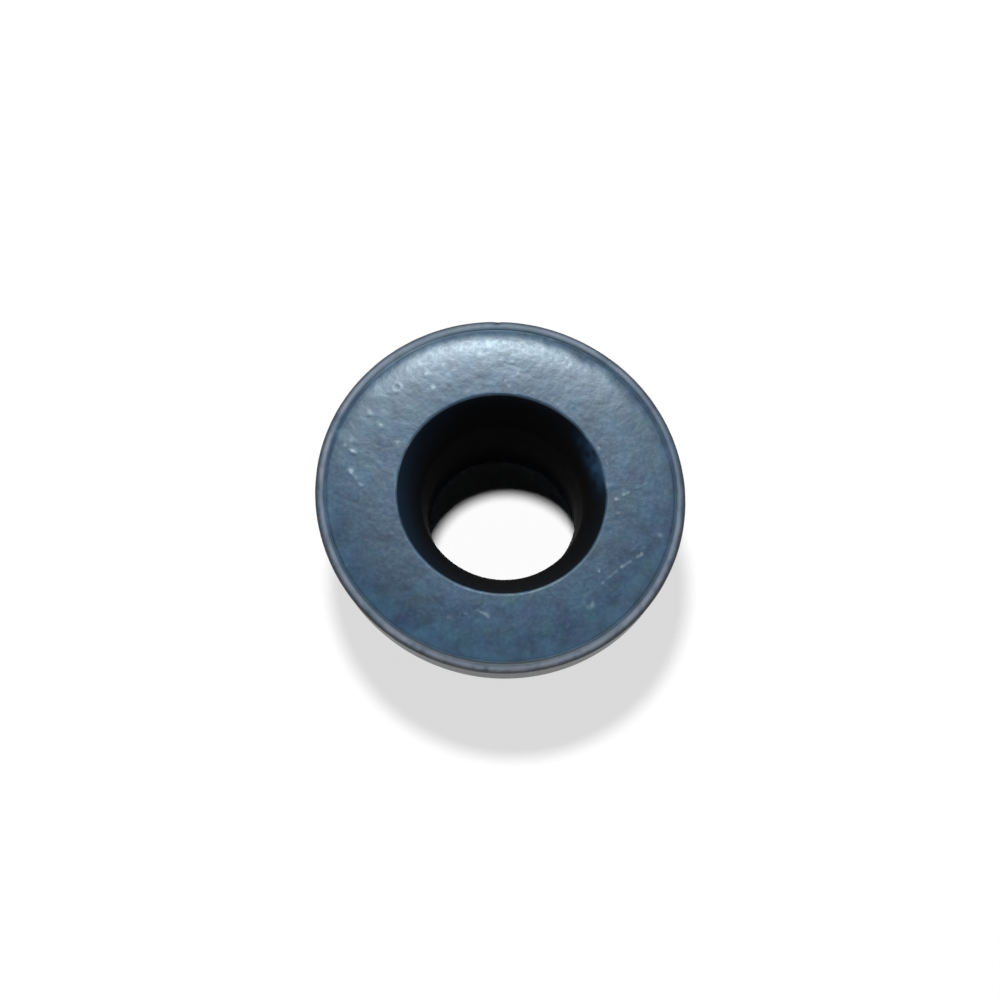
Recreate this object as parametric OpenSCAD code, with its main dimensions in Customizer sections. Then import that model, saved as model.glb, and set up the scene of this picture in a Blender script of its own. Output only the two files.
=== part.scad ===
// Valve gasket: a moulded rubber top hat that seals a valve stem in the hole of a rim.
// The neck goes through the hole, the flange closes on the face round it, and the stem
// is pressed through the bore, which narrows from a conical mouth to a straight grip land.
// The part stands on the end of its neck, flange up.
// Its origin is the centre of that end, with +Z up along the bore. Sizes in millimetres.

/* [Fit] */
// Diameter of the valve stem
stem_d = 8; // [6:0.1:9]
// How much smaller than the stem the grip land is, all round
grip = 0.3; // [0.1:0.05:0.5]
// Diameter of the hole that the neck goes through
hole_d = 11.5; // [10.8:0.1:14]
// Clearance between the neck and the hole, all round
neck_clearance = 0.1; // [0.05:0.05:0.3]
// Height of the neck, from its end to the underside of the flange
neck_h = 3.7; // [2.5:0.1:6]

/* [Flange] */
// Diameter of the flange over its bead
flange_d = 18; // [16:0.5:24]
// Height of the flange, from its underside to its face
flange_h = 2.7; // [2.2:0.1:4]
// Draft of the side wall, in degrees, so that it narrows towards the underside
side_draft = 4; // [1:1:10]
// Radius of the flange's lower edge
lower_edge_r = 0.3; // [0.1:0.05:0.6]

/* [Face] */
// How far the crowned face falls from the mouth to the valley
face_fall = 0.15; // [0.05:0.01:0.3]

/* [Rim bead] */
// Radius of the bead that runs round the edge of the face
bead_r = 0.3; // [0.15:0.05:0.4]
// How far the side wall stands back from the outside of the bead
bead_overhang = 0.1; // [0.05:0.01:0.15]
// Width of the rim, from the foot of the face to the outside of the bead
rim_w = 0.76; // [0.64:0.02:1.2]
// Slope from the foot of the face down into the valley, in degrees
valley_slope = 20; // [10:1:35]
// Radius at the bottom of the valley
valley_r = 0.03; // [0.03:0.01:0.15]

/* [Bore] */
// How much wider the mouth is than the stem, on each side
mouth_flare = 1.1; // [0.4:0.1:1.4]
// Depth of the cone from the face down to where it is as wide as the stem
mouth_depth = 1.7; // [0.8:0.1:2]
// Height of the straight grip land, from the end of the neck
land_h = 3; // [1:0.1:3.4]
// Radius of the edge between the face and the cone
mouth_edge_r = 0.15; // [0.05:0.05:0.4]
// Radius of the edge between the bore and the end of the neck
bore_edge_r = 0.2; // [0.05:0.05:0.4]

/* [Neck end] */
// Chamfer on the outside of the neck's end, which leads it into the hole
lead_in = 0.4; // [0.1:0.05:0.7]

/* [Hidden] */

// Largest turn between two points of a small round in the section, in degrees
arc_step = 6;
// The same for the long arc of the face
crown_step = 0.75;
// Flats in a full turn of the preview
turn_facets = 180;
// Least height of the taper between the cone and the grip land
taper_min_h = 0.3;

stem_r = stem_d / 2;
land_r = stem_r - grip;
neck_r = hole_d / 2 - neck_clearance;
rim_r = flange_d / 2;
face_z = neck_h + flange_h;

// The land stops below the cone, also where a short gasket is asked for
land_top = min(land_h, face_z - mouth_depth - taper_min_h);

// The crowned face ends at its foot, and the crest of the bead is level with that
face_foot = [rim_r - rim_w, face_z - face_fall];
bead_centre = [rim_r - bead_r, face_foot[1] - bead_r];
// Turn below the bead's widest point at which the side wall leaves it
wall_turn = acos(1 - bead_overhang / bead_r);
wall_top = bead_centre + bead_r * [cos(wall_turn), -sin(wall_turn)];

// The valley: a straight slope down from the foot of the face, and a small arc that
// touches that slope and the bead. The arc's centre runs alongside the slope, valley_r off
// it, until it is bead_r + valley_r from the bead's centre
slope_way = [cos(valley_slope), -sin(valley_slope)];
slope_side = [sin(valley_slope), cos(valley_slope)];
valley_from = face_foot + valley_r * slope_side - bead_centre;
valley_run = -valley_from * slope_way
    - sqrt(pow(valley_from * slope_way, 2) - valley_from * valley_from + pow(bead_r + valley_r, 2));
valley_centre = bead_centre + valley_from + valley_run * slope_way;
blend_turn = 90 + atan((bead_centre[0] - valley_centre[0]) / (valley_centre[1] - bead_centre[1]));

// The cone's lean from the face, which is also the turn of its rounded edge
mouth_lean = atan(mouth_depth / mouth_flare);
mouth_edge_centre = [
    stem_r + mouth_flare + mouth_edge_r * tan(mouth_lean / 2),
    face_z - mouth_edge_r
];

// The face is one arc, level where the mouth's rounded edge begins
crown_run = face_foot[0] - mouth_edge_centre[0];
crown_r = (pow(crown_run, 2) + pow(face_fall, 2)) / (2 * face_fall);
crown_turn = asin(crown_run / crown_r);
crown_centre = [mouth_edge_centre[0], face_z - crown_r];

// Points along an arc from one turn to another, both in degrees
function arc(centre, r, from, to, step = arc_step) =
    let (steps = ceil(abs(to - from) / step))
    [for (i = [0:steps]) let (a = from + (to - from) * i / steps) centre + r * [cos(a), sin(a)]];

// Distance from the axis to the drafted side wall at a height
function wall_at(z) = wall_top[0] - (wall_top[1] - z) * tan(side_draft);

// Centre of the flange's lower edge, which rounds the underside into the drafted wall
function lower_edge_centre() =
    let (z = neck_h + lower_edge_r)
    [wall_at(z - lower_edge_r * sin(side_draft)) - lower_edge_r * cos(side_draft), z];

// Half section of the gasket, x as the distance from the axis and y as the height
module section() {
    neck_end = concat(
        arc([land_r + bore_edge_r, bore_edge_r], bore_edge_r, 180, 270),
        [[neck_r - lead_in, 0], [neck_r, lead_in]]
    );
    underside = concat(
        [[neck_r, neck_h]],
        arc(lower_edge_centre(), lower_edge_r, -90, -side_draft)
    );
    rim = concat(
        arc(bead_centre, bead_r, -wall_turn, blend_turn),
        arc(valley_centre, valley_r, blend_turn + 180, 270 - valley_slope)
    );
    face = arc(crown_centre, crown_r, 90 - crown_turn, 90, crown_step);
    mouth = concat(
        arc(mouth_edge_centre, mouth_edge_r, 90, 90 + mouth_lean),
        [[stem_r, face_z - mouth_depth], [land_r, land_top]]
    );
    polygon(concat(neck_end, underside, rim, face, mouth));
}

module gasket() {
    color([0.27, 0.36, 0.44])
        rotate_extrude($fn = turn_facets)
            section();
}

gasket();
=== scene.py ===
import math

import bpy
import numpy as np
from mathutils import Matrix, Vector


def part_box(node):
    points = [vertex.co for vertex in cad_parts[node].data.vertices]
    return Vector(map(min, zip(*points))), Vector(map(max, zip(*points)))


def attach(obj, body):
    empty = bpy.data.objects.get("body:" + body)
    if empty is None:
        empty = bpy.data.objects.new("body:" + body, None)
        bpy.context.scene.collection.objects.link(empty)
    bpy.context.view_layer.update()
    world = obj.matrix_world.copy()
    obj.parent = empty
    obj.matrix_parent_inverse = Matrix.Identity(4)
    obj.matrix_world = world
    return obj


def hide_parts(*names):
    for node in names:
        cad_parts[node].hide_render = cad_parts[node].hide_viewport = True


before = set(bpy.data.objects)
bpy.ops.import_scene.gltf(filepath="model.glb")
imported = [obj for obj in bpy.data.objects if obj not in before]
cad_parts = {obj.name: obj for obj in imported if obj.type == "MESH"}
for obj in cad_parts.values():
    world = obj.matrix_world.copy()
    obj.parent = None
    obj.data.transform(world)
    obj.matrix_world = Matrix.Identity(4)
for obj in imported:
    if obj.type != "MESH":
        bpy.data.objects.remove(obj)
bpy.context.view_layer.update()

# The gasket: one piece of black EPDM rubber, pressed in a two-part mould that closes on the
# outside of the bead. The face is slate blue with the wax that such rubber sweats out, and the
# bore, side and neck are nearly black. Lengths are in millimetres until they go into the mesh.
MM = 0.001
rim_r, _, face_z = np.array(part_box("gasket")[1]) / MM
stem_r = 4.0
land_r = 3.7
land_h = 3.0
neck_r = 5.65
neck_h = 3.7
lead_in = 0.4
bore_edge_r = 0.2
mouth_flare = 1.1
mouth_depth = 1.7
mouth_edge_r = 0.15
crown = 0.056
roll = 0.21
crest_fall = 0.14
rim_w = 0.61
bead_r = 0.3
bead_overhang = 0.1
valley_r = 0.05
lower_edge_r = 0.3
side_draft = 4


def way(degrees):
    """The direction (cos, sin) of a turn in degrees."""
    return np.array([math.cos(math.radians(degrees)), math.sin(math.radians(degrees))])


def bend(centre, radius, start, end, count):
    """Points along an arc: the centre plus the radius times (cos, sin) of a turn that goes evenly
    from start to end, in degrees. The last point is left to the next stretch."""
    turn = np.radians(np.linspace(start, end, count, endpoint=False))
    return np.array(centre) + radius * np.column_stack([np.cos(turn), np.sin(turn)])


def run(start, end, count):
    """Points along a straight stretch: with t from 0 to 1, the start times (1 - t) plus the end
    times t. The last point is left to the next stretch."""
    t = np.linspace(0, 1, count, endpoint=False)[:, None]
    return np.array(start) * (1 - t) + np.array(end) * t


# The mouth: the cone from the waist up, and the rounded edge that leads from it into the face.
waist = [stem_r, face_z - mouth_depth]
mouth_lean = math.degrees(math.atan2(mouth_depth, mouth_flare))
mouth_edge_run = mouth_edge_r * math.tan(math.radians(mouth_lean) / 2)
mouth_edge = np.array([stem_r + mouth_flare + mouth_edge_run, face_z - mouth_edge_r])
cone_top = mouth_edge + mouth_edge_r * way(90 + mouth_lean)

# The face starts level at the mouth and rolls over towards its foot: with t as the share of its
# width, its slope is crown * t + roll * t^6, so it has fallen by width * (crown * t^2 / 2 +
# roll * t^7 / 7).
face_rows = 52
face_w = rim_r - rim_w - mouth_edge[0]
t = np.linspace(1, 0, face_rows, endpoint=False)
face_fall = face_w * (crown * t**2 / 2 + roll * t**7 / 7)
face = np.column_stack([mouth_edge[0] + face_w * t, face_z - face_fall])
face_foot = face[0]

# The valley goes straight on from the foot of the face, and a small arc turns it up into the bead.
# The arc's centre is valley_r off the slope, and bead_r + valley_r from the bead's centre.
valley_slope = math.degrees(math.atan(crown + roll))
bead_centre = np.array([rim_r - bead_r, face_z - crest_fall - bead_r])
valley_from = face_foot + valley_r * way(90 - valley_slope) - bead_centre
along = valley_from @ way(-valley_slope)
apart = bead_r + valley_r
valley_run = -along - math.sqrt(along**2 - valley_from @ valley_from + apart**2)
valley_centre = bead_centre + valley_from + valley_run * way(-valley_slope)
valley_top = valley_centre - valley_r * way(90 - valley_slope)
blend_turn = math.degrees(math.atan2(*(valley_centre - bead_centre)[::-1]))

# The drafted side stands back under the bead and is rounded into the underside.
draft = math.radians(side_draft)
wall_turn = math.degrees(math.acos(1 - bead_overhang / bead_r))
wall_top = bead_centre + bead_r * way(-wall_turn)
edge_z = neck_h + lower_edge_r
wall_foot_z = edge_z - lower_edge_r * math.sin(draft)
wall_foot_r = wall_top[0] - (wall_top[1] - wall_foot_z) * math.tan(draft)
lower_edge = [wall_foot_r - lower_edge_r * math.cos(draft), edge_z]

# The half section, from the bore's lower edge round the outside and back down the bore. The
# hollow is the small arc at the bottom of the valley. Each stretch says how many rows it takes.
stretches = [
    ("end", bend([land_r + bore_edge_r, bore_edge_r], bore_edge_r, 180, 270, 4)),
    ("end", run([land_r + bore_edge_r, 0], [neck_r - lead_in, 0], 3)),
    ("neck", run([neck_r - lead_in, 0], [neck_r, lead_in], 2)),
    ("neck", run([neck_r, lead_in], [neck_r, neck_h], 5)),
    ("under", run([neck_r, neck_h], [lower_edge[0], neck_h], 5)),
    ("side", bend(lower_edge, lower_edge_r, 270, 360 - side_draft, 5)),
    ("side", run([wall_foot_r, wall_foot_z], wall_top, 7)),
    ("bead", bend(bead_centre, bead_r, -wall_turn, blend_turn, 16)),
    ("hollow", bend(valley_centre, valley_r, blend_turn + 180, 270 - valley_slope, 5)),
    ("valley", run(valley_top, face_foot, 4)),
    ("face", face),
    ("face", bend(mouth_edge, mouth_edge_r, 90, 90 + mouth_lean, 5)),
    ("mouth", run(cone_top, waist, 7)),
    ("bore", run(waist, [land_r, land_h], 4)),
    ("bore", run([land_r, land_h], [land_r, bore_edge_r], 5)),
]
profile = np.vstack([points for _, points in stretches])
reach, level = profile.T
rows = len(profile)
# Points in each ring
ring = 760
turn = np.linspace(0, 2 * np.pi, ring, endpoint=False)[:, None]

# Outward direction of the surface at each row, square to the line between the rows beside it
ahead = np.roll(profile, -1, axis=0) - np.roll(profile, 1, axis=0)
across = np.column_stack([ahead[:, 1], -ahead[:, 0]])
across /= np.linalg.norm(across, axis=1)[:, None]

# Which rows belong to what
zone = np.concatenate([[name] * len(points) for name, points in stretches])
is_end, is_bead, is_hollow = zone == "end", zone == "bead", zone == "hollow"
is_face, is_cone = zone == "face", zone == "mouth"
face_side = is_face | is_hollow | (zone == "valley")
on_top = face_side | is_bead
in_bore = is_cone | (zone == "bore")
bead_inner = is_bead & (reach < bead_centre[0])
mouth_round = is_face & (reach < mouth_edge[0])


def surface(radial, height):
    """The ring of points: x and y are the distance from the axis times (cos, sin) of the turn,
    and z is the height."""
    height = np.broadcast_to(height, radial.shape)
    return np.stack([radial * np.cos(turn), radial * np.sin(turn), height], axis=-1)


def lumps(points, size, seed):
    """Smooth random bumps between -1 and 1: random values at the corners of cubes of that size,
    blended inside each cube along each axis by a share t of t^3 * (10 - 15 * t + 6 * t^2)."""
    cubes = 64
    clear_of_zero = 1000
    values = np.random.default_rng(seed).uniform(-1, 1, (cubes, cubes, cubes))
    place = points / size + clear_of_zero
    cell = np.floor(place).astype(int)
    t = place - cell
    t = t**3 * (t * (t * 6 - 15) + 10)
    total = np.zeros(points.shape[:-1])
    for corner in np.ndindex(2, 2, 2):
        spot = tuple((cell[..., axis] + corner[axis]) % cubes for axis in range(3))
        part = [t[..., axis] if corner[axis] else 1 - t[..., axis] for axis in range(3)]
        total += values[spot] * part[0] * part[1] * part[2]
    return total


def fade(value, start, end):
    """0 at start and 1 at end: with t as the share of the way, t^2 * (3 - 2 * t)."""
    t = np.clip((value - start) / (end - start), 0, 1)
    return t * t * (3 - 2 * t)


def soft(gap, width):
    """1 where the gap is 0, and less on both sides: e to the minus square of gap over width."""
    return np.exp(-((gap / width) ** 2))


def side(degrees, width):
    """1 at that turn from +X, and less on both sides of it: soft of the gap in degrees, taken the
    short way round."""
    return soft((np.degrees(turn) - degrees + 180) % 360 - 180, width)


near_side, far_side, right_side = side(270, 50), side(90, 50), side(15, 30)
radial = np.broadcast_to(reach, (ring, rows))
height = np.broadcast_to(level, (ring, rows))
base = surface(radial, height)
flat = base[..., :2]

# The foot of the face is higher at the two sides, by a share of the fall of the roll. It also
# wanders, most of all at the far right, where the rubber shrank back.
side_lift = 0.6
wander_w, wander_size = 0.035, 1.1
sunk_w, sunk_wander_w, sunk_size = 0.07, 0.06, 0.5
foot_reach = 0.7
outward = np.clip((reach - mouth_edge[0]) / face_w, 0, 1)
lift = side_lift * face_w * roll / 7 * outward**7 * np.cos(turn) ** 2
height = height + lift * fade(reach, valley_centre[0], face_foot[0]) * face_side
foot_points = surface(np.full((ring, 1), face_foot[0]), 0)
wander = wander_w * lumps(foot_points, wander_size, 5)
wander += side(50, 24) * (sunk_wander_w * lumps(foot_points, sunk_size, 6) - sunk_w)
near_foot = fade(reach, face_foot[0] - foot_reach, face_foot[0])
near_foot = near_foot * fade(reach, valley_centre[0], face_foot[0]) * on_top
radial = radial + near_foot * wander

# The pebbling of the skin: (size, height, seed). Off the top it is a fifth as high.
pebbles = [(2.2, 0.005, 1), (0.7, 0.003, 2), (0.28, 0.0018, 3), (0.14, 0.0009, 4)]
off_top = 0.2
skin = sum(bump * lumps(base, size, seed) for size, bump, seed in pebbles)
skin = skin * (off_top + (1 - off_top) * on_top)

# Marks on the top, with painted highlights and shade: (start, end, half width, how light, height).
# Each is a line whose strength falls off with the square of the distance from it. Pale ones are
# broken up. Dark ones have a minus sign; they are dents, a crease and a scratch, their shade
# painted.
marks_and_painted_light = [
    ((-7.24, 2.59), (-7.04, 2.59), 0.103, 0.36, 0.008),
    ((-7.58, 2.35), (-7.03, 1.94), 0.069, 0.48, 0.01),
    ((-7.08, 1.84), (-7.05, 1.81), 0.09, -0.5, -0.004),
    ((-7.28, 1.07), (-7.23, 1.02), 0.127, 0.42, 0.006),
    ((-7.26, 1.04), (-6.78, 0.38), 0.057, 0.24, 0.004),
    ((-6.81, 0.4), (-6.76, 0.35), 0.103, 0.6, 0.01),
    ((-6.38, 3.96), (-6.33, 3.91), 0.161, 0.24, 0.005),
    ((-5.88, 3.34), (-5.83, 3.28), 0.161, 0.24, 0.005),
    ((-4.99, 2.46), (-4.94, 2.4), 0.138, 0.24, 0.004),
    ((-5.94, 2.4), (-5.91, 2.38), 0.09, -0.35, -0.003),
    ((5.54, -0.35), (5.71, -0.28), 0.069, 0.6, 0.008),
    ((5.81, -0.21), (5.99, -0.14), 0.069, 0.64, 0.008),
    ((6.18, -0.07), (6.4, 0.01), 0.069, 0.56, 0.008),
    ((6.47, 0.07), (7.13, 0.41), 0.046, 0.24, 0.003),
    ((5.29, -1.14), (5.67, -1.06), 0.069, 0.2, 0.003),
    ((5.22, -2.18), (5.28, -2.22), 0.115, 0.4, 0.006),
    ((7.64, -2.18), (7.71, -2.22), 0.115, 0.2, 0.003),
    ((6.57, -3.15), (6.66, -3.12), 0.115, 0.48, 0.008),
    ((6.43, -3.07), (6.47, -3.05), 0.08, -0.5, -0.004),
    ((4.67, -3.96), (4.96, -3.92), 0.069, 0.48, 0.006),
    ((4.67, -3.97), (6.76, -2.64), 0.046, 0.18, 0.003),
    ((4.87, -4.52), (5.78, -3.78), 0.057, 0.2, 0.003),
    ((5.78, -3.78), (6.75, -3.14), 0.057, 0.2, 0.003),
    ((4.17, -5.73), (4.31, -5.66), 0.138, 0.2, 0.003),
    ((-1.4, -5.9), (-0.8, -6.16), 0.052, 0.24, 0.005),
    ((-0.7, -6.2), (-0.58, -6.3), 0.081, 0.28, 0.005),
    ((-1.75, -6.2), (-1.65, -6.22), 0.081, 0.2, 0.004),
    ((-2.43, -6.42), (-2.34, -6.42), 0.115, 0.28, 0.004),
    ((0.1, 5.79), (0.1, 5.25), 0.035, -0.55, -0.006),
    ((0.13, 6.68), (0.94, 6.47), 0.035, -0.35, -0.003),
    # Painted highlights: bright flecks where the sheen breaks up, painted pale, some also raised a
    # little
    ((-0.5, 7.74), (-0.28, 7.77), 0.23, 0.56, 0.0),
    ((-2.03, 7.47), (-1.33, 7.63), 0.161, 0.32, 0.0),
    ((-1.06, 7.13), (-0.96, 7.16), 0.115, 0.36, 0.0),
    ((-3.6, 5.97), (-3.5, 6.02), 0.115, 0.4, 0.006),
    ((-3.3, 5.29), (-3.2, 5.34), 0.115, 0.36, 0.006),
    ((0.25, 5.51), (0.35, 5.54), 0.092, 0.4, 0.005),
    ((0.79, 6.09), (0.89, 6.12), 0.092, 0.4, 0.005),
    ((1.14, 7.24), (1.89, 7.47), 0.149, 0.24, 0.0),
    ((-0.17, 8.88), (-0.1, 8.88), 0.13, -1, -0.05),
    ((4.9, -4.4), (6.3, -3.3), 0.25, 0.12, 0.0),
    ((3.9, -5.3), (4.9, -4.5), 0.22, 0.1, 0.0),
    ((3.5, -5.9), (4.4, -5.5), 0.2, 0.12, 0.0),
    ((6.35, -3.0), (7.05, -2.7), 0.12, 0.14, 0.0),
    ((5.6, -3.6), (6.5, -2.4), 0.06, 0.14, 0.002),
    ((-7.9, 3.3), (-6.9, 2.2), 0.3, 0.1, 0.0),
    # Painted highlight: bits of the bright line along the right of the mouth's edge, painted pale
    ((4.8, 2.3), (4.84, 2.24), 0.07, 0.4, 0.004),
    ((4.98, 1.98), (5.02, 1.9), 0.07, 0.45, 0.004),
    ((5.12, 1.6), (5.14, 1.5), 0.07, 0.4, 0.004),
    ((5.25, 1.15), (5.26, 1.05), 0.06, 0.3, 0.003),
]
light = np.zeros((ring, rows))
gap_size = 0.22
broken = np.clip(0.65 + 1.1 * lumps(base, gap_size, 7), 0, 1.4)
for start, end, half, tint, raised in marks_and_painted_light:
    line = np.subtract(end, start)
    share = np.clip((flat - start) @ line / (line @ line), 0, 1)
    gap = np.linalg.norm(flat - start - share[..., None] * line, axis=-1)
    strength = soft(gap, half) * on_top * (broken if tint > 0 else 1)
    light += tint * strength
    skin += raised * strength

# A small ring-shaped print, where a bubble burst, with a darker pit inside
bubble_at = (-5.02, 5.29)
bubble_r, bubble_half, pit_r = 0.21, 0.08, 0.12
bubble_height = 0.004
bubble = np.linalg.norm(flat - bubble_at, axis=-1)
bubble_ring = soft(bubble - bubble_r, bubble_half) * is_face
bubble_pit = soft(bubble, pit_r) * is_face
light += 0.32 * bubble_ring * (0.6 + 1.6 * lumps(base, 0.2, 9)) - 0.25 * bubble_pit
skin += bubble_height * bubble_ring

# The crest of the bead is painted grey in a band, farther out at the near side: it is rubbed, and
# the grey is also a painted highlight where the crest catches the light. It is most worn and palest
# there, and least at the right and the far left. The band misses the nick and the overhang.
crest_r = bead_centre[0] + 0.02 + 0.12 * near_side
crest_half = 0.12
patch_size, speck_size = 0.9, 0.22
crest_band = soft(reach - crest_r, crest_half) * is_bead
crest_band = crest_band * fade(level, bead_centre[1] - 0.05, bead_centre[1] + 0.12)
worn_and_lit = 1 - 0.5 * right_side + 0.3 * near_side - 0.25 * side(122, 20)
patchy = 0.75 + 0.4 * lumps(base, patch_size, 10) + 0.3 * lumps(base, speck_size, 11)
crest_wear_and_highlight = crest_band * worn_and_lit * patchy * (1 - np.clip(-light, 0, 1))

# Painted highlight: the edge of the mouth is painted a little paler than the face, but not at the
# far side.
highlight_r, highlight_half, highlight_size = mouth_edge[0] - 0.06, 0.08, 0.4
mouth_highlight = soft(reach - highlight_r, highlight_half) * is_face * (1 - far_side)
light += 0.13 * mouth_highlight * (0.8 + 1.3 * lumps(base, highlight_size, 12))

# Painted light and shade: broad paler and darker sides of the top, where the sheen is caught or
# lost: (how light, turn, width in degrees, where)
outer_face = fade(reach, 7.4, 8.0) * face_side
bead_foot = fade(reach, bead_centre[0], valley_centre[0]) * (on_top & ~is_face)
painted_light_and_shade = [
    (0.0375, 330, 45, outer_face),
    (0.0525, 18, 22, outer_face),
    (0.06, 180, 30, outer_face),
    (0.0225, 270, 50, outer_face),
    (-0.27, 212, 25, fade(reach, 8.4, 7.6) * is_face),
    (-0.15, 330, 30, fade(reach, 7.8, 6.8) * is_face),
    (0.22, 100, 45, bead_inner),
    (0.3, 122, 16, bead_foot),
]
for tint, degrees, width, where in painted_light_and_shade:
    light += tint * side(degrees, width) * where

# The rubber has sprung slightly oval. The core of the mould, which shapes the mouth and the bore,
# stood off the middle, and was less far off at the waist. All of it stays inside the CAD box.
oval = 0.0135
oval_turn = math.radians(-40)
core_shift = np.array([0.06, -0.08])
waist_shift = np.array([0.04, 0.08])
face_held, face_free = mouth_edge[0] + 0.15, mouth_edge[0] + 1.6
radial = (radial + across[:, 0] * skin) * (1 + oval * np.cos(2 * (turn - oval_turn)))
verts = surface(radial, height + across[:, 1] * skin)
held = in_bore + is_face * fade(reach, face_free, face_held)
held = held + is_end * fade(reach, neck_r - lead_in, land_r + bore_edge_r)
at_waist = np.interp(level, [land_h, waist[1], cone_top[1]], [0, 1, 0]) * in_bore
verts[..., :2] += core_shift * held[:, None] + waist_shift * at_waist[:, None]
verts[..., :2] *= rim_r / max(rim_r, np.abs(verts[..., :2]).max())
verts[..., 2] = np.clip(verts[..., 2], 0, face_z)

# How much wax each row has: all of it on the face, little on the outside of the bead and below,
# and a thin film down the cone, thicker just under its edge. The valley and its hollow have less,
# which darkens them as painted shade.
wax_and_shade_of = {"face": 1, "valley": 0.85, "hollow": 0.75, "side": 0.08, "under": 0.2}
wax_and_shade_of.update({"neck": 0.1, "end": 0.12, "bead": 0.08})
crest_wax, cone_wax, lip_wax, lip_w = 0.6, 0.02, 0.05, 0.25
wax_and_shade = np.array([wax_and_shade_of.get(name, 0) for name in zone])
wax_and_shade = wax_and_shade + crest_wax * fade(across[:, 1], 0.55, 0.95) * is_bead
up_cone = fade(reach, stem_r, cone_top[0])
under_lip = fade(reach, cone_top[0] - lip_w, cone_top[0])
wax_and_shade = wax_and_shade + (cone_wax * up_cone**2 + lip_wax * under_lip) * is_cone

# The wax is patchy. The inner flank of the bead has nearly all of it. At the near side that flank
# and the bottom of the valley are darker, as painted shade. It is thinner on the rounded edge of
# the mouth. The far foot of the face is darker along an uneven line, painted shade where the sheen
# falls off. In the cone there is more of it at the left, and a mottled patch at the right.
wax_patch, foot_wave, cone_patch = 0.5, 0.9, 0.35
foot_w = 0.22
bloom_and_shade = np.where(bead_inner, 0.95 - 0.85 * near_side, wax_and_shade)
bloom_and_shade *= 1 + 0.25 * lumps(base, wax_patch, 8)
foot_line = reach + 0.1 * lumps(foot_points, foot_wave, 13)
foot_shade = fade(foot_line, face_foot[0] - foot_w, face_foot[0]) * is_face
bloom_and_shade *= 1 - 0.1 * foot_shade * far_side
bloom_and_shade *= 1 - 0.4 * near_side * is_hollow
bloom_and_shade *= 1 - (0.2 + 0.3 * far_side) * mouth_round
bloom_and_shade += 0.22 * side(180, 40) * up_cone * is_cone
right_patch = side(20, 15) * fade(reach, stem_r + 0.3, cone_top[0]) * is_cone
bloom_and_shade += 0.95 * (0.8 + 0.8 * lumps(base, cone_patch, 14)) * right_patch

index = np.arange(ring * rows).reshape(ring, rows)
right = np.roll(index, -1, axis=0)
up = np.roll(index, -1, axis=1)
corner = np.roll(right, -1, axis=1)
quads = np.stack([index, right, corner, up], axis=-1).reshape(-1, 4)

mesh = bpy.data.meshes.new("gasket_rubber")
mesh.vertices.add(ring * rows)
mesh.vertices.foreach_set("co", (verts * MM).astype(np.float32).ravel())
mesh.loops.add(quads.size)
mesh.loops.foreach_set("vertex_index", quads.astype(np.int32).ravel())
mesh.polygons.add(len(quads))
mesh.polygons.foreach_set("loop_start", np.arange(0, quads.size, 4, dtype=np.int32))
inside = in_bore | (is_end & (reach < land_r + bore_edge_r))
mesh.polygons.foreach_set("material_index", np.tile(inside.astype(np.int32), ring))
mesh.update(calc_edges=True)
mesh.polygons.foreach_set("use_smooth", np.ones(len(quads), bool))
# Where there is no gloss: the bead, the bottom of the valley and the edge of the mouth
dull = np.broadcast_to(is_bead | is_hollow | mouth_round, (ring, rows))
for name, values in (("bloom_and_shade", bloom_and_shade), ("light", light), ("crest_wear_and_highlight", crest_wear_and_highlight), ("dull", dull)):
    layer = mesh.attributes.new(name, "FLOAT", "POINT")
    layer.data.foreach_set("value", np.clip(values, -1, 1).astype(np.float32).ravel())
gasket = bpy.data.objects.new("gasket_rubber", mesh)
bpy.context.scene.collection.objects.link(gasket)


def tone(code):
    """An sRGB hex colour as linear red, green, blue and alpha: each part over 12.92 up to
    0.04045, and above that (part + 0.055) / 1.055 to the power 2.4."""
    parts = [int(code[i : i + 2], 16) / 255 for i in (1, 3, 5)]
    linear = [c / 12.92 if c <= 0.04045 else ((c + 0.055) / 1.055) ** 2.4 for c in parts]
    return (*linear, 1.0)


def add(tree, kind, inputs=None, **settings):
    """Adds one node with its settings, and links or sets its inputs, by name or by number."""
    node = tree.nodes.new(kind)
    for name, value in settings.items():
        setattr(node, name, value)
    for name, value in (inputs or {}).items():
        if isinstance(value, bpy.types.NodeSocket):
            tree.links.new(value, node.inputs[name])
        else:
            node.inputs[name].default_value = value
    return node


# Bloomed EPDM: slate blue wax over black rubber, with greener and more violet patches and a
# fine grain. It is smooth enough for a broken silky sheen, and the marks in it are pale. It also
# carries painted highlights and painted shade.
bloomed = bpy.data.materials.new("moulded EPDM with wax bloom")
bloomed.use_nodes = True
tree = bloomed.node_tree
shader = tree.nodes["Principled BSDF"]
place = add(tree, "ShaderNodeTexCoord").outputs["Object"]
# Patches, hues and grain: (size in millimetres, detail, roughness)
noises = []
for size, detail, rough in ((1.3, 3.0, 0.6), (1.1, 1.0, 0.5), (0.22, 3.0, 0.65)):
    noise = {"Vector": place, "Scale": 1 / (size * MM), "Detail": detail, "Roughness": rough}
    noises.append(add(tree, "ShaderNodeTexNoise", noise).outputs["Fac"])
patches, hues, grain = noises
bloom_and_shade_of, light_of, crest_wear_and_highlight_of, dull_of = (
    add(tree, "ShaderNodeAttribute", attribute_name=name).outputs["Fac"]
    for name in ("bloom_and_shade", "light", "crest_wear_and_highlight", "dull")
)
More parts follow.
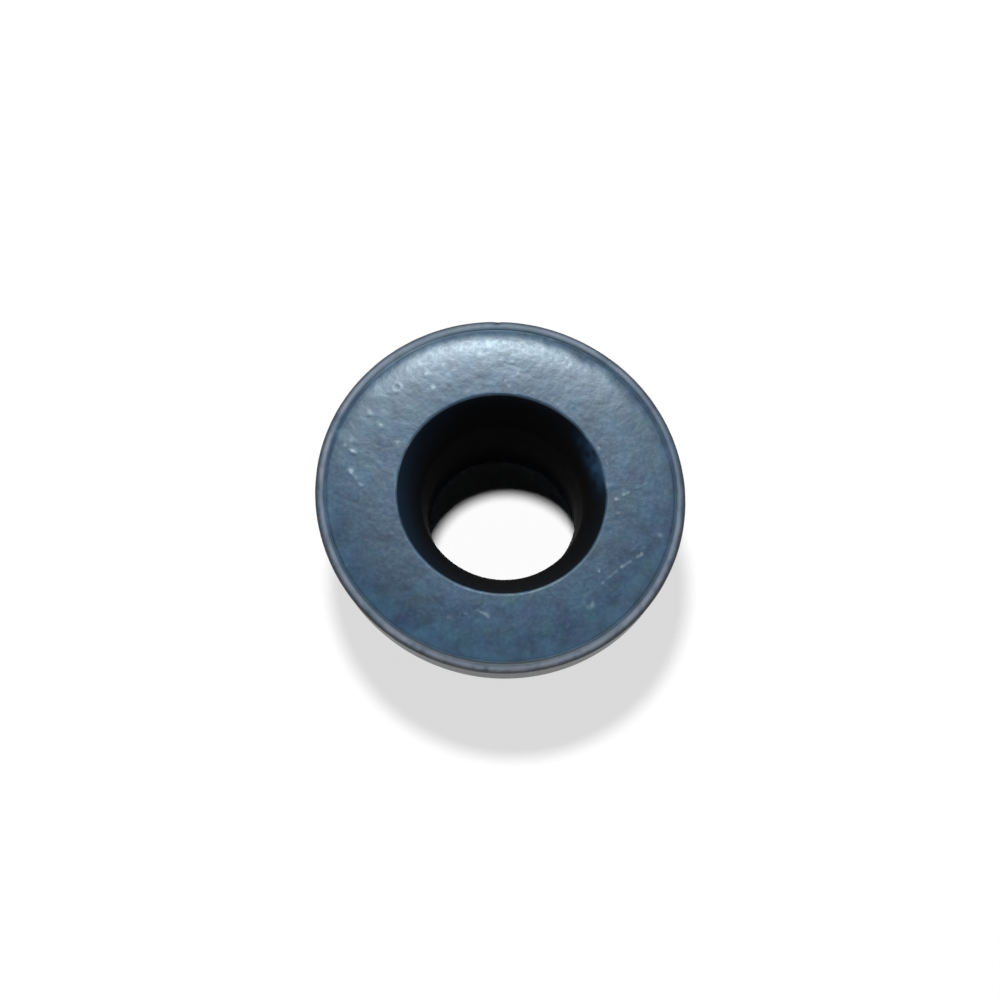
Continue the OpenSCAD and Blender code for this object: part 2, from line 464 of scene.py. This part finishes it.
# Colours laid over the first one: (what it follows, from, to, share of it at most, colour)
colour = tone("#1f3852")
layers = [
    (patches, 0.35, 0.65, 1.0, "#30516a"),
    (hues, 0.55, 0.75, 0.32, "#2f5350"),
    (hues, 0.45, 0.25, 0.32, "#34406b"),
    (grain, 0.5, 0.8, 0.2, "#5f7c8c"),
    (grain, 0.5, 0.2, 0.14, "#1c2b38"),
    # The last four layers: pale marks, painted highlights and painted shade; bare rubber where
    # there is less wax or painted shade; the crest's wear and painted highlight
    (light_of, 0.0, 1.0, 1.0, "#9fb4bd"),
    (light_of, 0.0, -1.0, 1.0, "#10161c"),
    (bloom_and_shade_of, 1.0, 0.0, 1.0, "#17181b"),
    (crest_wear_and_highlight_of, 0.0, 1.0, 0.55, "#9aa0ac"),
]
for value, start, end, most, code in layers:
    span = {"Value": value, "From Min": start, "From Max": end, "To Max": most}
    share = add(tree, "ShaderNodeMapRange", span).outputs["Result"]
    laid = {0: share, 6: colour, 7: tone(code)}
    colour = add(tree, "ShaderNodeMix", laid, data_type="RGBA").outputs[2]
tree.links.new(colour, shader.inputs["Base Color"])
# Roughness follows the grain, and is higher where the rubber is rubbed or dull
span = {"Value": grain, "From Min": 0.3, "From Max": 0.7, "To Min": 0.25, "To Max": 0.33}
rough = add(tree, "ShaderNodeMapRange", span).outputs["Result"]
for value, more in ((crest_wear_and_highlight_of, 0.15), (dull_of, 0.2)):
    terms = {0: value, 1: more, 2: rough}
    rough = add(tree, "ShaderNodeMath", terms, operation="MULTIPLY_ADD").outputs[0]
rough = add(tree, "ShaderNodeMath", {0: rough, 1: 0.65}, operation="MINIMUM").outputs[0]
tree.links.new(rough, shader.inputs["Roughness"])
bump = add(tree, "ShaderNodeBump", {"Height": grain, "Strength": 1.0, "Distance": 0.004 * MM})
tree.links.new(bump.outputs["Normal"], shader.inputs["Normal"])
shader.inputs["Specular IOR Level"].default_value = 0.25
mesh.materials.append(bloomed)

# Clean EPDM inside: black and dull, with a thin blue film down the cone.
clean = bpy.data.materials.new("moulded EPDM, clean")
clean.use_nodes = True
tree = clean.node_tree
shader = tree.nodes["Principled BSDF"]
bloom_and_shade_of = add(tree, "ShaderNodeAttribute", attribute_name="bloom_and_shade").outputs["Fac"]
films = {0: bloom_and_shade_of, 6: tone("#0f0f10"), 7: tone("#2d4965")}
colour = add(tree, "ShaderNodeMix", films, data_type="RGBA").outputs[2]
tree.links.new(colour, shader.inputs["Base Color"])
shader.inputs["Roughness"].default_value = 0.6
shader.inputs["Specular IOR Level"].default_value = 0.01
mesh.materials.append(clean)

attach(gasket, "root")
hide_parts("gasket")

# The table: plain matt white. Round the neck, what sees it directly or in a gloss sees it two
# thirds of the way to white, which leaves the object's shadow pale. Inside the neck it is as it is
# lit, and far off it is all white, so that its edge doesn't show.
table_half = 1.0
white_levels = [(5.3, 5.6, 0.67), (40, 120, 0.33)]
corners = [(x * table_half, y * table_half, 0) for x, y in ((-1, -1), (1, -1), (1, 1), (-1, 1))]
table = bpy.data.meshes.new("table")
table.from_pydata(corners, [], [(0, 1, 2, 3)])
floor = bpy.data.objects.new("table", table)
bpy.context.scene.collection.objects.link(floor)


def seen_by_eye(tree):
    """1 for a ray from the camera, a gloss or a clear thing, and 0 for light that falls on
    something: the greatest of those three of Light Path's outputs."""
    rays = add(tree, "ShaderNodeLightPath").outputs
    seen = rays["Is Camera Ray"]
    for kind in ("Is Glossy Ray", "Is Transmission Ray"):
        seen = add(tree, "ShaderNodeMath", {0: seen, 1: rays[kind]}, operation="MAXIMUM").outputs[0]
    return seen


paint = bpy.data.materials.new("matt white laminate")
paint.use_nodes = True
paint.cycles.emission_sampling = "NONE"
tree = paint.node_tree
shader = tree.nodes["Principled BSDF"]
shader.inputs["Base Color"].default_value = tone("#ffffff")
shader.inputs["Roughness"].default_value = 0.9
shader.inputs["Specular IOR Level"].default_value = 0.0
white = add(tree, "ShaderNodeEmission", {"Color": tone("#ffffff"), "Strength": 1.0})
place = add(tree, "ShaderNodeTexCoord").outputs["Object"]
out = add(tree, "ShaderNodeVectorMath", {0: place}, operation="LENGTH").outputs["Value"]
# Steps towards white: (from, to, in millimetres from the axis, how much)
share = 0.0
for start, end, step in white_levels:
    span = {"Value": out, "From Min": start * MM, "From Max": end * MM, "To Max": step}
    more = add(tree, "ShaderNodeMapRange", span).outputs["Result"]
    share = add(tree, "ShaderNodeMath", {0: share, 1: more}, operation="ADD").outputs[0]
seen_share = {0: seen_by_eye(tree), 1: share}
share = add(tree, "ShaderNodeMath", seen_share, operation="MULTIPLY").outputs[0]
looks = {0: share, 1: shader.outputs["BSDF"], 2: white.outputs["Emission"]}
look = add(tree, "ShaderNodeMixShader", looks).outputs["Shader"]
tree.links.new(look, tree.nodes["Material Output"].inputs["Surface"])
table.materials.append(paint)

# The lamps: a small soft key from behind, which leaves no gloss, and a wider one, a little bluer,
# that only the gloss shows.
face_centre = np.array([0, 0, face_z * MM])


def lamp(name, azimuth, elevation, distance, wide, deep, level, colour):
    """An oval area lamp aimed at the face. Azimuth is from +Y towards -X. Its power gives a
    white matt face that much of full white: pi squared times the level and the distance
    squared, over the sine of the elevation."""
    a, e = math.radians(azimuth), math.radians(elevation)
    towards = np.array([-math.sin(a) * math.cos(e), math.cos(a) * math.cos(e), math.sin(e)])
    data = bpy.data.lights.new(name, "AREA")
    data.shape = "ELLIPSE"
    data.size = wide
    data.size_y = deep
    data.energy = level * math.pi**2 * distance**2 / math.sin(e)
    data.color = colour
    lamp_object = bpy.data.objects.new(name, data)
    bpy.context.scene.collection.objects.link(lamp_object)
    lamp_object.location = face_centre + towards * distance
    lamp_object.rotation_euler = Vector(towards).to_track_quat("Z", "Y").to_euler()
    return lamp_object


key = lamp("key", 9, 64.8, 0.6, wide=0.1, deep=0.08, level=0.99, colour=(1, 1, 1))
key.visible_glossy = False
sheen = lamp("sheen", 2, 57.8, 0.6, wide=0.19, deep=0.07, level=1.12, colour=(0.78, 0.92, 1.0))
sheen.visible_diffuse = False

# The room: white to the eye. What it throws on the object is a low even fill from all round. The
# fill is full where the way to it rises by up to fill_full, and there is none where it rises by
# more than fill_top, so that it doesn't reach down the bore.
fill_level = 0.6
fill_full, fill_top = 0.3, 0.55
world = bpy.context.scene.world or bpy.data.worlds.new("room")
bpy.context.scene.world = world
world.use_nodes = True
world.cycles.sampling_method = "NONE"
tree = world.node_tree
background = tree.nodes["Background"]
background.inputs["Color"].default_value = (1, 1, 1, 1)
towards = add(tree, "ShaderNodeTexCoord").outputs["Generated"]
rise = add(tree, "ShaderNodeSeparateXYZ", {"Vector": towards}).outputs["Z"]
span = {"Value": rise, "From Min": fill_full, "From Max": fill_top, "To Min": fill_level}
fill = add(tree, "ShaderNodeMapRange", {**span, "To Max": 0.0}).outputs["Result"]
levels = {"Value": seen_by_eye(tree), "To Min": fill, "To Max": 1.0}
strength = add(tree, "ShaderNodeMapRange", levels).outputs["Result"]
tree.links.new(strength, background.inputs["Strength"])

# The camera: a long lens that looks down on the face from the near side, a little in front of the
# axis.
view_elevation = math.radians(72.5)
view_distance = 116.1 * MM
aim = np.array([-0.007, -0.449, face_z]) * MM
lens = bpy.data.cameras.new("camera")
lens.lens = 86.4
lens.sensor_width = 36
lens.clip_start = 0.005
camera = bpy.data.objects.new("camera", lens)
bpy.context.scene.collection.objects.link(camera)
back = np.array([0, -math.cos(view_elevation), math.sin(view_elevation)])
camera.location = aim + back * view_distance
camera.rotation_euler = (math.pi / 2 - view_elevation, 0, 0)
bpy.context.scene.camera = camera
bpy.context.scene.view_settings.view_transform = "Standard"
